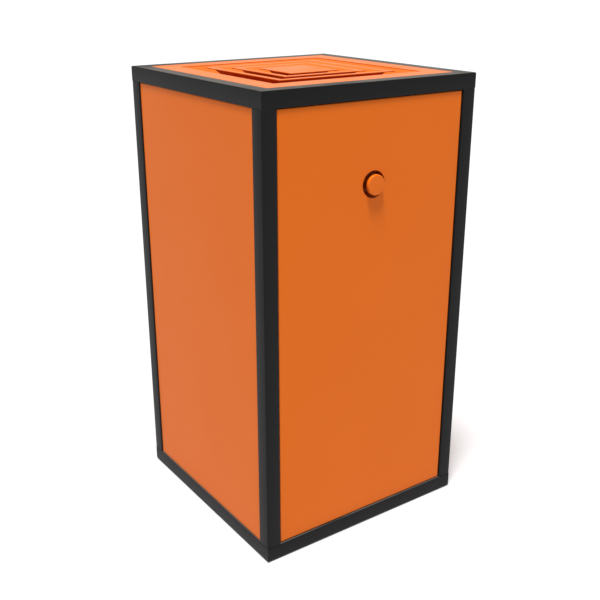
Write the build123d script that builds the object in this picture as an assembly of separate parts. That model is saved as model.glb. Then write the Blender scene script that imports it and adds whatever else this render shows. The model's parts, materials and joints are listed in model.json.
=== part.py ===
from build123d import *
import math
import os

# Biohazard waste bin: a square tube frame with recessed sheet panels, a louvred inlet in the
# top that lifts out, and a pull-out front that carries a rigid liner on telescopic slides.
# Millimetres. Origin at the middle of the footprint on the floor, +Z up, front toward -Y.

# ---- Overall sizes -------------------------------------------------------------------------
width = 400.0
depth = 400.0
height = 750.0

# ---- Frame ---------------------------------------------------------------------------------
tube = 25.0
tube_wall = 1.5
glide_proud = 2.0
glide_radius = 9.0
glide_stem_radius = 4.0
glide_stem_length = 10.0
glide_from_corner = 45.0

# ---- Sheet panels --------------------------------------------------------------------------
sheet = 1.5
panel_recess = 2.0
panel_return = 15.0
panel_fold = 2.5
top_return = 12.0
top_fold = 0.8
inside_fold = 0.6
floor_height = 12.0
floor_return = 14.0
rivet_radius = 2.0
rivet_head_radius = 4.0
rivet_head = 1.2
rivet_bulb_radius = 2.8
rivet_bulb = 2.5
rivet_end_inset = 60.0
side_rivets_per_post = 4
rail_rivets_per_edge = 2

# ---- Inlet louvres -------------------------------------------------------------------------
hole_border = 60.0
louvre_angle = 45.0
well_angle = 45.0
louvre_rim = 10.0
louvre_gap_outer = 30.0
louvre_gap = 22.0
louvre_depth = 22.0
well_flange = 12.0
well_ledge = 12.0
bar_height = 10.0
bar_thick = 3.0
centre_post_radius = 7.0
seat_gap = 0.3

# ---- Pull-out front ------------------------------------------------------------------------
front_gap = 1.2
front_return = 17.0

# ---- Knob and latch ------------------------------------------------------------------------
knob_drop = 152.0
knob_radius = 15.8
knob_proud = 7.5
knob_cap = 6.0
knob_neck_radius = 9.0
knob_rim = 1.0
cup_radius = 21.0
cup_depth = 16.0
cup_flange = 8.0
housing_flange_radius = 13.0
housing_flange = 1.5
housing_radius = 9.0
housing_tail = 5.0
nut_radius = 13.0
nut_height = 4.0
spindle_radius = 4.0
spindle_square = 5.6
spindle_in_knob = 13.0
cam_thick = 3.0
cam_width = 16.0
cam_reach = 45.0
cam_gap = 1.0
cam_screw_radius = 2.0
cam_screw_length = 8.0
cam_screw_head_radius = 5.0
cam_screw_head = 3.0
keeper_thick = 2.0
keeper_half_width = 30.0
keeper_overlap = 23.0
keeper_hold = 12.0

# ---- Telescopic slides ---------------------------------------------------------------------
slide_height = 80.0
slide_half = 22.0
slide_thick = 12.7
slide_steel = 1.2
slide_clear = 0.4
slide_web_step = 0.6
slide_end_gap = 3.0
slide_back_room = 4.0
bar_support_thick = 4.0
bar_support_half = 20.0
bar_support_inset = 1.0

# ---- Carriage and liner --------------------------------------------------------------------
cradle_drop = 8.0
cradle_lip = 15.0
cradle_front_reach = 3.0
cradle_back_room = 10.0
bracket_steel = 2.0
bracket_leg = 22.0
bracket_foot = 70.0
bracket_under_knob = 40.0
bracket_neck = 14.0
liner_wall = 2.5
liner_rim = 6.0
liner_rim_thick = 4.0
liner_side_room = 11.3
liner_end_room = 25.0
liner_taper = 14.0
liner_corner = 28.0
liner_shift = 5.0
bail_rod = 3.5
bail_arm = 100.0
bail_bend = 15.0
bail_drop = 18.0
bail_rest_gap = 1.5
bail_side_gap = 3.5
bail_eye_radius = 9.0
bail_eye_half = 4.0
bail_pin_radius = 4.5
bail_pin_head_radius = 8.0
bail_pin_head = 2.5
bail_grip_radius = 8.0
bail_grip_length = 110.0

# ---- Fits and fasteners --------------------------------------------------------------------
running = 0.05
snug = 0.03
loose = 0.25
screw_radius = 2.45
screw_head_radius = 4.5
screw_head = 2.0
screw_nut = 3.0

# ---- Places worked out from the sizes ------------------------------------------------------
half_w = width / 2
half_d = depth / 2
inner_w = half_w - tube
inner_d = half_d - tube
frame_base = glide_proud
post_low = frame_base + tube
post_high = height - tube
post_middle = (post_low + post_high) / 2
post_length = post_high - post_low
knob_height = height - knob_drop

slope = math.tan(math.radians(louvre_angle))
blade_across = sheet / math.sin(math.radians(louvre_angle))
well_slope = math.tan(math.radians(well_angle))
well_across = sheet / math.sin(math.radians(well_angle))
well_depth = louvre_depth + bar_height + seat_gap
outer_ring_inset = hole_border + louvre_gap_outer
inner_ring_inset = outer_ring_inset + louvre_rim + louvre_gap
plate_inset = inner_ring_inset + louvre_rim + louvre_gap
seat_inset = hole_border + well_depth / well_slope

front_face = -half_d + panel_recess
front_rear = front_face + sheet
cup_floor = front_rear + cup_depth
cup_back = cup_floor + sheet
housing_front = cup_floor - housing_flange
housing_end = cup_back + housing_tail
keeper_front = -inner_d
keeper_rear = keeper_front + keeper_thick
cam_front = keeper_rear + cam_gap
cam_rear = cam_front + cam_thick
knob_front = front_face - knob_proud
knob_rear = housing_front - 1.0
spindle_front = knob_rear - spindle_in_knob
keeper_low = knob_height + cam_reach - keeper_overlap
keeper_high = height - top_return - 1.0
keeper_screw_height = (post_high + keeper_high) / 2

slide_face = inner_w + bar_support_inset
slide_start = -inner_d + slide_end_gap
slide_length = 2 * inner_d - slide_end_gap - slide_back_room
carriage_half = slide_face - slide_thick
cradle_base = slide_height - slide_half - cradle_drop
bracket_half = carriage_half - sheet
bracket_top = knob_height - bracket_under_knob
cradle_front = inner_d + cradle_front_reach
cradle_back = inner_d - cradle_back_room
liner_base = cradle_base + sheet
liner_top = knob_height
liner_top_width = 2 * (carriage_half - liner_side_room)
liner_top_depth = 2 * (inner_d - liner_end_room)
bail_pivot_height = liner_top - bail_drop
bail_half = liner_top_width / 2 + liner_rim + bail_side_gap + bail_eye_half
bail_grip_height = liner_top + bail_rod + bail_rest_gap
bail_rise = bail_grip_height - bail_pivot_height
bail_back = math.sqrt(bail_arm ** 2 - bail_rise ** 2)

UP = (Align.CENTER, Align.CENTER, Align.MIN)
DOWN = (Align.CENTER, Align.CENTER, Align.MAX)


# ---- Helpers -------------------------------------------------------------------------------
def block(low, high):
    """A box from its lowest to its highest corner."""
    size = [b - a for a, b in zip(low, high)]
    return Pos(*low) * Box(*size, align=(Align.MIN, Align.MIN, Align.MIN))


def rod(start, along, radius, length):
    """A round bar from a point along a direction."""
    return Plane(origin=start, z_dir=along) * Cylinder(radius, length, align=UP)


def hex_nut(start, along, radius, thick, bore):
    """A plain hexagon nut with its bore, from a point along a direction."""
    place = Plane(origin=start, z_dir=along)
    body = extrude(RegularPolygon(radius, 6), amount=thick)
    return place * (body - Cylinder(bore, 4 * thick))


def square_taper(inset_low, inset_high, z_low, z_high):
    """A four-sided solid whose sides lean in, given by its insets from the bin's sides."""
    low = Pos(0, 0, z_low) * Rectangle(width - 2 * inset_low, depth - 2 * inset_low)
    high = Pos(0, 0, z_high) * Rectangle(width - 2 * inset_high, depth - 2 * inset_high)
    return loft([low, high], ruled=True)


def inset_block(inset, z_low, z_high):
    """A square block given by its inset from the bin's sides."""
    return block((inset - half_w, inset - half_d, z_low), (half_w - inset, half_d - inset, z_high))


def tray(length, across, returns, fold):
    """A folded sheet: outer face up at z = 0, four returns going down."""
    body = Box(length, across, returns, align=DOWN)
    body = fillet(body.faces().sort_by(Axis.Z)[-1].edges(), fold)
    room = Pos(0, 0, -sheet) * Box(length - 2 * sheet, across - 2 * sheet, returns, align=DOWN)
    room = fillet(room.faces().sort_by(Axis.Z)[-1].edges(), inside_fold)
    return body - room


def rivet(point, into):
    """A blind rivet: head on the return, bulb inside the tube."""
    grip = sheet + tube_wall
    body = rod(point, into, rivet_radius - snug, grip)
    body += rod(Vector(point) - Vector(into) * rivet_head, into, rivet_head_radius, rivet_head)
    body += rod(Vector(point) + Vector(into) * grip, into, rivet_bulb_radius, rivet_bulb)
    return body


def spread(length, count):
    """Evenly spaced places along an edge, the same distance in from both ends."""
    reach = length / 2 - rivet_end_inset
    return [reach * (2 * i / (count - 1) - 1) for i in range(count)]


def panel_rivet_places():
    """Where each panel is riveted: a point on its return's inner face and the way in."""
    places = {"left_panel": [], "right_panel": [], "back_panel": [], "top_panel": [], "floor_panel": []}
    mid_x = half_w - panel_recess - panel_return / 2
    mid_y = half_d - panel_recess - panel_return / 2
    at_post = [post_middle + z for z in spread(post_length, side_rivets_per_post)]
    for name, side in (("left_panel", -1), ("right_panel", 1)):
        for end in (-1, 1):
            for z in at_post:
                places[name].append(((side * mid_x, end * (inner_d - sheet), z), (0, end, 0)))
    for side in (-1, 1):
        for z in at_post:
            places["back_panel"].append(((side * (inner_w - sheet), mid_y, z), (side, 0, 0)))
    top_z = height - top_return / 2 - top_fold
    floor_z = floor_height + floor_return / 2
    for name, z in (("top_panel", top_z), ("floor_panel", floor_z)):
        for side in (-1, 1):
            for along in spread(2 * inner_d, rail_rivets_per_edge):
                places[name].append(((side * (inner_w - sheet), along, z), (side, 0, 0)))
            for along in spread(2 * inner_w, rail_rivets_per_edge):
                places[name].append(((along, side * (inner_d - sheet), z), (0, side, 0)))
    return places


def drill(body, places):
    """Rivet holes through a return and the tube wall behind it."""
    for point, into in places:
        start = Vector(point) - Vector(into) * sheet
        body -= rod(start, into, rivet_radius, 2 * sheet + tube_wall + rivet_bulb)
    return body


def near(places, low, high):
    """The places that lie in or beside a box."""
    reach = sheet + 0.5
    return [p for p in places if all(a - reach <= c <= b + reach for c, a, b in zip(p[0], low, high))]


# ---- Frame ---------------------------------------------------------------------------------
def hoop(z_low):
    """A square ring of hollow tube lying flat, before it is cut into its four rails."""
    z_high = z_low + tube
    ring = inset_block(0, z_low, z_high) - inset_block(tube, z_low, z_high)
    room = inset_block(tube_wall, z_low + tube_wall, z_high - tube_wall)
    room -= inset_block(tube - tube_wall, z_low + tube_wall, z_high - tube_wall)
    return ring - room


def rail(z_low, side):
    """One mitred rail of a hoop."""
    out, inn = (half_w, half_d), (inner_w, inner_d)
    corners = {
        "front": [(-out[0], -out[1]), (out[0], -out[1]), (inn[0], -inn[1]), (-inn[0], -inn[1])],
        "back": [(out[0], out[1]), (-out[0], out[1]), (-inn[0], inn[1]), (inn[0], inn[1])],
        "left": [(-out[0], out[1]), (-out[0], -out[1]), (-inn[0], -inn[1]), (-inn[0], inn[1])],
        "right": [(out[0], -out[1]), (out[0], out[1]), (inn[0], inn[1]), (inn[0], -inn[1])],
    }[side]
    cutter = Pos(0, 0, z_low) * extrude(make_face(Polyline(corners, close=True)), amount=tube)
    return hoop(z_low) & cutter


def post(side_x, side_y):
    """An upright between the two hoops."""
    place = Pos(side_x * (half_w - tube / 2), side_y * (half_d - tube / 2), post_low)
    outer = Box(tube, tube, post_length, align=UP)
    inner = Box(tube - 2 * tube_wall, tube - 2 * tube_wall, post_length, align=UP)
    return place * (outer - inner)


def glide_places():
    """Under the front and back rails, near each corner."""
    x = half_w - glide_from_corner
    y = half_d - tube / 2
    return [(sx * x, sy * y) for sx in (-1, 1) for sy in (-1, 1)]


def keeper_screw_places():
    """Two screws through the keeper into the back of the top front rail."""
    return [(s * keeper_half_width * 0.6, keeper_rear, keeper_screw_height) for s in (-1, 1)]


def make_frame():
    places = [p for group in panel_rivet_places().values() for p in group]
    parts = {}
    for level, z_low in (("bottom", frame_base), ("top", post_high)):
        for side in ("front", "back", "left", "right"):
            body = rail(z_low, side)
            box = body.bounding_box()
            body = drill(body, near(places, box.min, box.max))
            parts[f"{level}_rail_{side}"] = body
    for name in ("bottom_rail_front", "bottom_rail_back"):
        for x, y in glide_places():
            parts[name] -= Pos(x, y, frame_base) * Cylinder(glide_stem_radius, 3 * tube_wall)
    for point in keeper_screw_places():
        parts["top_rail_front"] -= rod(point, (0, -1, 0), screw_radius + running, 4 * tube_wall)
    for end, side_y in (("front", -1), ("back", 1)):
        for hand, side_x in (("left", -1), ("right", 1)):
            body = post(side_x, side_y)
            box = body.bounding_box()
            parts[f"post_{end}_{hand}"] = drill(body, near(places, box.min, box.max))
    return parts


def make_glides():
    """Four round glides with stems pushed up into the bottom rails."""
    solids = []
    for x, y in glide_places():
        pad = Pos(x, y, 0) * Cylinder(glide_radius, glide_proud, align=UP)
        pad = chamfer(pad.edges().sort_by(Axis.Z)[0], glide_proud * 0.3)
        stem_length = glide_stem_length
        pad += Pos(x, y, glide_proud) * Cylinder(glide_stem_radius - snug, stem_length, align=UP)
        solids.append(pad)
    return solids


# ---- Panels --------------------------------------------------------------------------------
def make_panels():
    places = panel_rivet_places()
    side_tray = tray(post_length, 2 * inner_d, panel_return, panel_fold)
    back_tray = tray(post_length, 2 * inner_w, panel_return, panel_fold)
    left = Plane(origin=(panel_recess - half_w, 0, post_middle), x_dir=(0, 0, 1), z_dir=(-1, 0, 0))
    right = Plane(origin=(half_w - panel_recess, 0, post_middle), x_dir=(0, 0, 1), z_dir=(1, 0, 0))
    back = Plane(origin=(0, half_d - panel_recess, post_middle), x_dir=(0, 0, 1), z_dir=(0, 1, 0))
    floor = Plane(origin=(0, 0, floor_height), x_dir=(1, 0, 0), z_dir=(0, 0, -1))
    parts = {
        "left_panel": left * side_tray,
        "right_panel": right * side_tray,
        "back_panel": back * back_tray,
        "floor_panel": floor * tray(2 * inner_w, 2 * inner_d, floor_return, top_fold),
    }
    top = Pos(0, 0, height) * tray(2 * inner_w, 2 * inner_d, top_return, top_fold)
    parts["top_panel"] = top - inset_block(hole_border, height - 2 * sheet, height + sheet)
    for name in parts:
        parts[name] = drill(parts[name], places[name])
    return parts


def make_rivets():
    return {f"{name}_rivets": [rivet(*p) for p in group] for name, group in panel_rivet_places().items()}


# ---- Inlet ---------------------------------------------------------------------------------
def make_well():
    """The sheet funnel under the top panel, with the ledge that the grille sits on."""
    top = height - sheet
    ledge = height - well_depth
    flange = inset_block(hole_border - well_flange, top - sheet, top)
    outer = square_taper(seat_inset - well_across, hole_border - well_across, ledge, height)
    body = flange + (outer - inset_block(0, top, height + sheet))
    body += inset_block(seat_inset - well_across, ledge - sheet, ledge)
    body -= square_taper(seat_inset, hole_border, ledge, height)
    body -= inset_block(seat_inset + well_ledge, ledge - 2 * sheet, ledge + sheet)
    return body


def louvre_ring(inset):
    """A flat rim flush with the top, and a blade leaning down and inward from it."""
    low = height - louvre_depth
    rim_end = inset + louvre_rim
    lean = louvre_depth / slope
    rim = inset_block(inset, height - sheet, height)
    blade = square_taper(rim_end + lean - blade_across, rim_end - blade_across, low, height)
    blade -= inset_block(0, height - sheet, height + sheet)
    return rim + blade - square_taper(rim_end + lean, rim_end, low, height)


def make_grille():
    """Two louvre rings and a closed middle plate on a cross of two flat bars."""
    bar_top = height - louvre_depth
    bar_low = bar_top - bar_height
    notch = bar_thick / 2 + running
    reach_w = half_w - seat_inset - 5 * seat_gap
    reach_d = half_d - seat_inset - 5 * seat_gap
    bar_x = block((-reach_w, -bar_thick / 2, bar_low), (reach_w, bar_thick / 2, bar_top))
    bar_y = block((-bar_thick / 2, -reach_d, bar_low), (bar_thick / 2, reach_d, bar_top))
    lap = (bar_low + bar_top) / 2
    bar_x -= block((-notch, -bar_thick, lap), (notch, bar_thick, bar_top + 1))
    bar_y -= block((-bar_thick, -notch, bar_low - 1), (bar_thick, notch, lap))
    plate = louvre_ring(plate_inset) + inset_block(plate_inset, height - sheet, height)
    post_height = louvre_depth - sheet
    stem = Cylinder(centre_post_radius, post_height, align=UP)
    stem -= Cylinder(centre_post_radius - sheet, post_height, align=UP)
    return {
        "inlet_ring_outer": louvre_ring(outer_ring_inset),
        "inlet_ring_inner": louvre_ring(inner_ring_inset),
        "inlet_centre_plate": plate,
        "inlet_bar_across": bar_x,
        "inlet_bar_deep": bar_y,
        "inlet_centre_post": Pos(0, 0, bar_top) * stem,
    }


# ---- Pull-out front, knob and latch --------------------------------------------------------
def make_front_panel():
    plane = Plane(origin=(0, front_face, post_middle), x_dir=(0, 0, 1), z_dir=(0, -1, 0))
    body = plane * tray(post_length - 2 * front_gap, 2 * (inner_w - front_gap), front_return, panel_fold)
    return body - rod((0, front_face - sheet, knob_height), (0, 1, 0), cup_radius, 3 * sheet)


def make_cup():
    """The round recess that the knob stands in, fixed behind the front panel."""
    back = (0, 1, 0)
    body = rod((0, front_rear, knob_height), back, cup_radius + sheet, cup_depth + sheet)
    body += rod((0, front_rear, knob_height), back, cup_radius + cup_flange, sheet)
    body -= rod((0, front_rear, knob_height), back, cup_radius, cup_depth)
    return body - rod((0, cup_floor, knob_height), back, housing_radius + loose, sheet)


def make_latch():
    """The lock: fixed housing and nut, and the knob, spindle, cam and screw that turn."""
    back = (0, 1, 0)
    z = knob_height
    bore = spindle_radius + running
    housing = rod((0, housing_front, z), back, housing_flange_radius, housing_flange)
    housing += rod((0, cup_floor, z), back, housing_radius, housing_end - cup_floor)
    housing -= rod((0, housing_front, z), back, bore, housing_end - housing_front)
    nut = hex_nut((0, cup_back, z), back, nut_radius, nut_height, housing_radius + snug)

    knob = rod((0, knob_front, z), back, knob_radius, knob_cap)
    knob = fillet(knob.faces().sort_by(Axis.Y)[0].edges(), knob_rim)
    knob += rod((0, knob_front + knob_cap, z), back, knob_neck_radius, knob_rear - knob_front - knob_cap)
    knob -= rod((0, spindle_front, z), back, spindle_radius + snug, spindle_in_knob)

    half = spindle_square / 2
    spindle = rod((0, spindle_front, z), back, spindle_radius, cam_front - spindle_front)
    spindle += block((-half, cam_front, z - half), (half, cam_rear, z + half))
    spindle -= rod((0, cam_rear, z), (0, -1, 0), cam_screw_radius + snug, cam_screw_length)

    cam_place = Plane(origin=(0, cam_front, z), x_dir=(1, 0, 0), z_dir=back)
    cam = extrude(Pos(cam_reach / 2 - cam_width / 4, 0) * SlotOverall(cam_reach + cam_width / 2, cam_width),
                  amount=cam_thick)
    hole = spindle_square + 2 * snug
    cam -= Box(hole, hole, 3 * cam_thick)
    screw = rod((0, cam_rear, z), back, cam_screw_head_radius, cam_screw_head)
    screw = fillet(screw.faces().sort_by(Axis.Y)[-1].edges(), cam_screw_head * 0.4)
    screw += rod((0, cam_rear, z), (0, -1, 0), cam_screw_radius, cam_screw_length - 1.0)
    return {
        "latch_housing": housing,
        "latch_nut": nut,
        "knob": knob,
        "knob_spindle": spindle,
        "latch_cam": cam_place * cam,
        "cam_screw": screw,
    }


def make_keeper():
    """A strap hanging from the top front rail, for the cam to catch behind."""
    body = block((-keeper_half_width, keeper_front, keeper_low), (keeper_half_width, keeper_rear, keeper_high))
    lower = body.edges().filter_by(Axis.Y).group_by(Axis.Z)[0]
    body = fillet(lower, keeper_hold / 2)
    screws = []
    for point in keeper_screw_places():
        body -= rod(point, (0, -1, 0), screw_radius + running, 2 * keeper_thick)
        head = rod(point, (0, 1, 0), screw_head_radius * 0.8, screw_head)
        screws.append(head + rod(point, (0, -1, 0), screw_radius, keeper_thick + 3 * tube_wall))
    return body, screws


# ---- Slides --------------------------------------------------------------------------------
def slide_channel(near_face, far_face, half, web_near):
    """A channel lying along Y on the right: its web is on one face and its flanges reach the other."""
    z_low, z_high = slide_height - half, slide_height + half
    y_end = slide_start + slide_length
    body = block((far_face, slide_start, z_low), (near_face, y_end, z_high))
    if web_near:
        room = (far_face - 1, near_face - slide_steel)
    else:
        room = (far_face + slide_steel, near_face + 1)
    z_room = (z_low + slide_steel, z_high - slide_steel)
    return body - block((room[0], slide_start - 1, z_room[0]), (room[1], y_end + 1, z_room[1]))


def slide_screw_places():
    """Along the slide, where the outer channel is fixed to its bar."""
    return [slide_start + slide_length * share for share in (0.12, 0.5, 0.88)]


def cradle_screw_places():
    """Along the slide, where the inner channel is fixed to the cradle; the first holds a bracket."""
    return [slide_start + slide_length * share for share in (0.09, 0.45, 0.85)]


def cradle_stack(y):
    """Thickness that a cradle screw clamps: channel and cradle, and the bracket where it reaches."""
    in_bracket = y < front_rear + bracket_foot - 2 * screw_head_radius
    return slide_steel + sheet + (bracket_steel if in_bracket else 0)


def make_slides():
    """Right-hand slide members, support bar and screws; the left ones are mirror images."""
    flange_step = slide_steel + slide_clear
    outer = slide_channel(slide_face, carriage_half + slide_steel + slide_clear, slide_half, True)
    middle_face = slide_face - slide_steel - slide_web_step
    middle = slide_channel(middle_face, carriage_half + slide_steel / 2, slide_half - flange_step, True)
    inner_tip = middle_face - slide_steel - slide_web_step
    inner = slide_channel(inner_tip, carriage_half, slide_half - 2 * flange_step, False)
    z = slide_height
    bar = block((slide_face, -inner_d, z - bar_support_half),
                (slide_face + bar_support_thick, inner_d, z + bar_support_half))
    bar_screws = []
    for y in slide_screw_places():
        start = (slide_face - slide_steel, y, z)
        hole = rod(start, (1, 0, 0), screw_radius + running, slide_steel + bar_support_thick)
        outer -= hole
        bar -= hole
        grip = slide_steel + bar_support_thick
        screw = rod(start, (1, 0, 0), screw_radius, grip)
        screw += rod((slide_face + bar_support_thick, y, z), (1, 0, 0), screw_head_radius, screw_nut)
        bar_screws.append(screw)
    cradle_screws = []
    for y in cradle_screw_places():
        face = carriage_half + slide_steel
        grip = cradle_stack(y)
        hole = rod((face, y, z), (-1, 0, 0), screw_radius + running, grip)
        inner -= hole
        screw = rod((face, y, z), (1, 0, 0), screw_head_radius, screw_head)
        screw += rod((face, y, z), (-1, 0, 0), screw_radius, grip)
        screw += rod((face - grip, y, z), (-1, 0, 0), screw_head_radius, screw_nut)
        cradle_screws.append(screw)
    return {"outer": outer, "middle": middle, "inner": inner, "bar": bar}, bar_screws, cradle_screws


# ---- Carriage ------------------------------------------------------------------------------
def make_cradle():
    """A shallow folded tray between the slides, with a low lip in front and behind."""
    low = (-carriage_half, -cradle_front, cradle_base)
    high = (carriage_half, cradle_back, slide_height + slide_half)
    body = block(low, high)
    body -= block((-carriage_half + sheet, -cradle_front + sheet, cradle_base + sheet),
                  (carriage_half - sheet, cradle_back - sheet, high[2] + 1))
    lip_top = cradle_base + cradle_lip
    body -= block((-bracket_half, -cradle_front - 1, lip_top), (bracket_half, cradle_back + 1, high[2] + 1))
    for y in cradle_screw_places():
        for side in (-1, 1):
            start = (side * (carriage_half + 1), y, slide_height)
            body -= rod(start, (-side, 0, 0), screw_radius + running, sheet + 2)
    for side in (-1, 1):
        for_bracket = (side * bracket_half, -cradle_front - 1, cradle_base + sheet)
        far = (side * (bracket_half - bracket_steel), sheet - cradle_front + 1, high[2])
        slot_low = [min(a, b) for a, b in zip(for_bracket, far)]
        slot_high = [max(a, b) for a, b in zip(for_bracket, far)]
        slot_low[0] -= loose
        slot_high[0] += loose if side < 0 else 0
        body -= block(slot_low, slot_high)
    return body


def stud_heights():
    """The three levels at which each bracket is bolted to the front panel."""
    low = slide_height + slide_half + screw_head_radius * 4
    high = bracket_top - screw_head_radius * 6
    return [low, (low + high) / 2, high]


def make_brackets():
    """Right-hand bracket that stands behind the front panel, and its studs and nuts."""
    foot = cradle_base + sheet
    y0 = front_rear
    shoulder = slide_height + slide_half
    side_plane = Plane(origin=(bracket_half, 0, 0), x_dir=(0, 1, 0), z_dir=(1, 0, 0))
    outline = [(y0, foot), (y0 + bracket_foot, foot), (y0 + bracket_foot, shoulder),
               (y0 + bracket_neck, shoulder * 2), (y0 + bracket_neck, bracket_top), (y0, bracket_top)]
    gusset = side_plane * extrude(make_face(Polyline(outline, close=True)), amount=-bracket_steel)
    leg = block((bracket_half - bracket_leg, y0, shoulder), (bracket_half, y0 + bracket_steel, bracket_top))
    body = gusset + leg
    for y in cradle_screw_places():
        start = (bracket_half + 1, y, slide_height)
        body -= rod(start, (-1, 0, 0), screw_radius + running, bracket_steel + 2)
    studs, nuts = [], []
    x = bracket_half - bracket_leg / 2 - bracket_steel / 2
    for z in stud_heights():
        body -= rod((x, y0, z), (0, 1, 0), screw_radius + loose, bracket_steel)
        studs.append(rod((x, y0, z), (0, 1, 0), screw_radius, bracket_steel + 2 * screw_nut))
        start = (x, y0 + bracket_steel, z)
        nuts.append(hex_nut(start, (0, 1, 0), screw_head_radius, screw_nut, screw_radius + snug))
    return body, studs, nuts


# ---- Liner and its bail --------------------------------------------------------------------
def liner_shell(shrink, z_low, z_high):
    """The liner's tapering form, pulled in all round by shrink, between two heights."""
    span = liner_top - liner_base

    def section(z):
        pull = liner_taper * (liner_top - z) / span + shrink
        wide = liner_top_width - 2 * pull
        deep = liner_top_depth - 2 * pull
        return Pos(0, liner_shift, z) * RectangleRounded(wide, deep, liner_corner - shrink)

    return loft([section(z_low), section(z_high)])


def make_liner():
    body = liner_shell(0, liner_base, liner_top)
    rim = RectangleRounded(liner_top_width + 2 * liner_rim, liner_top_depth + 2 * liner_rim,
                           liner_corner + liner_rim)
    body += Pos(0, liner_shift, liner_top - liner_rim_thick) * extrude(rim, amount=liner_rim_thick)
    body -= liner_shell(liner_wall, liner_base + liner_wall, liner_top + 1)
    for side in (-1, 1):
        start = (side * (liner_top_width / 2 + liner_rim), liner_shift, bail_pivot_height)
        body -= rod(start, (-side, 0, 0), bail_pin_radius + snug, liner_rim + 4 * liner_wall)
    return body


def make_bail():
    """The wire bail, its grip sleeve, and the two headed pins that it swings on."""
    z0, z1 = bail_pivot_height, bail_grip_height
    y0, y1 = liner_shift, liner_shift + bail_back
    corners = [(-bail_half, y0, z0), (-bail_half, y1, z1), (bail_half, y1, z1), (bail_half, y0, z0)]
    path = FilletPolyline(*corners, radius=bail_bend)
    plane = Plane(origin=corners[0], z_dir=path % 0)
    wire = sweep(plane * Circle(bail_rod), path=path)
    pins = []
    for side in (-1, 1):
        eye_face = (side * (bail_half - bail_eye_half), y0, z0)
        wire += rod(eye_face, (side, 0, 0), bail_eye_radius, 2 * bail_eye_half)
    for side in (-1, 1):
        inner_end = (side * (bail_half - 2 * bail_eye_half), y0, z0)
        wire -= rod(inner_end, (side, 0, 0), bail_pin_radius + running, 4 * bail_eye_half)
        start = (side * (liner_top_width / 2 - 2 * liner_wall), y0, z0)
        head_at = bail_half + bail_eye_half + seat_gap
        length = head_at - (liner_top_width / 2 - 2 * liner_wall)
        pin = rod(start, (side, 0, 0), bail_pin_radius, length)
        pin += rod((side * head_at, y0, z0), (side, 0, 0), bail_pin_head_radius, bail_pin_head)
        pins.append(pin)
    sleeve = rod((-bail_grip_length / 2, y1, z1), (1, 0, 0), bail_grip_radius, bail_grip_length)
    sleeve = fillet(sleeve.edges(), 2.0)
    sleeve -= rod((-bail_grip_length, y1, z1), (1, 0, 0), bail_rod + snug, 2 * bail_grip_length)
    return wire, sleeve, pins


# ---- Everything ----------------------------------------------------------------------------
def both_sides(solids):
    """A list of right-hand solids and their mirror images."""
    return list(solids) + [mirror(s, about=Plane.YZ) for s in solids]


def build():
    parts = {}
    parts.update(make_frame())
    parts.update(make_panels())
    parts.update(make_rivets())
    parts["floor_glides"] = make_glides()
    parts["inlet_well"] = make_well()
    parts.update(make_grille())
    parts["front_panel"] = make_front_panel()
    parts["knob_cup"] = make_cup()
    parts.update(make_latch())
    parts["latch_keeper"], parts["keeper_screws"] = make_keeper()
    members, bar_screws, cradle_screws = make_slides()
    for piece, body in members.items():
        name = "slide_support_bar" if piece == "bar" else f"slide_{piece}"
        parts[f"{name}_right"] = body
        parts[f"{name}_left"] = mirror(body, about=Plane.YZ)
    parts["slide_screws"] = both_sides(bar_screws)
    parts["cradle_screws"] = both_sides(cradle_screws)
    parts["cradle"] = make_cradle()
    bracket, studs, nuts = make_brackets()
    parts["front_bracket_right"] = bracket
    parts["front_bracket_left"] = mirror(bracket, about=Plane.YZ)
    parts["front_studs"] = both_sides(studs)
    parts["front_nuts"] = both_sides(nuts)
    parts["liner"] = make_liner()
    parts["bail_handle"], parts["bail_grip"], parts["bail_pivots"] = make_bail()
    return parts


def main():
    os.makedirs("parts", exist_ok=True)
    for name, body in build().items():
        solids = body if isinstance(body, list) else [body]
        shape = Compound(children=[s for item in solids for s in item.solids()])
        shape.label = name
        export_step(shape, f"parts/{name}.step")
    print("inlet seat inset", round(seat_inset, 2), "carriage half width", round(carriage_half, 2))
    print("knob axis z", knob_height, "bail pivot", (0, liner_shift, round(bail_pivot_height, 2)))
    print("liner", round(liner_base, 2), "to", round(liner_top, 2), "keeper from", round(keeper_low, 2))


main()
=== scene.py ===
# %% [markdown]
# # A square laboratory waste bin
# The bin is a dark frame of square tube with folded orange sheets set into it. Waste goes in
# between the louvres on top, and the whole front pulls out with the liner behind it. The working
# model already holds every part at its real size. Here the parts that show get their finish:
# rounded tube corners, rolled folds, turned edges and coated surfaces.

# %% Load the working model
import json
import math

import bmesh
import bpy
from mathutils import Matrix, Vector


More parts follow.
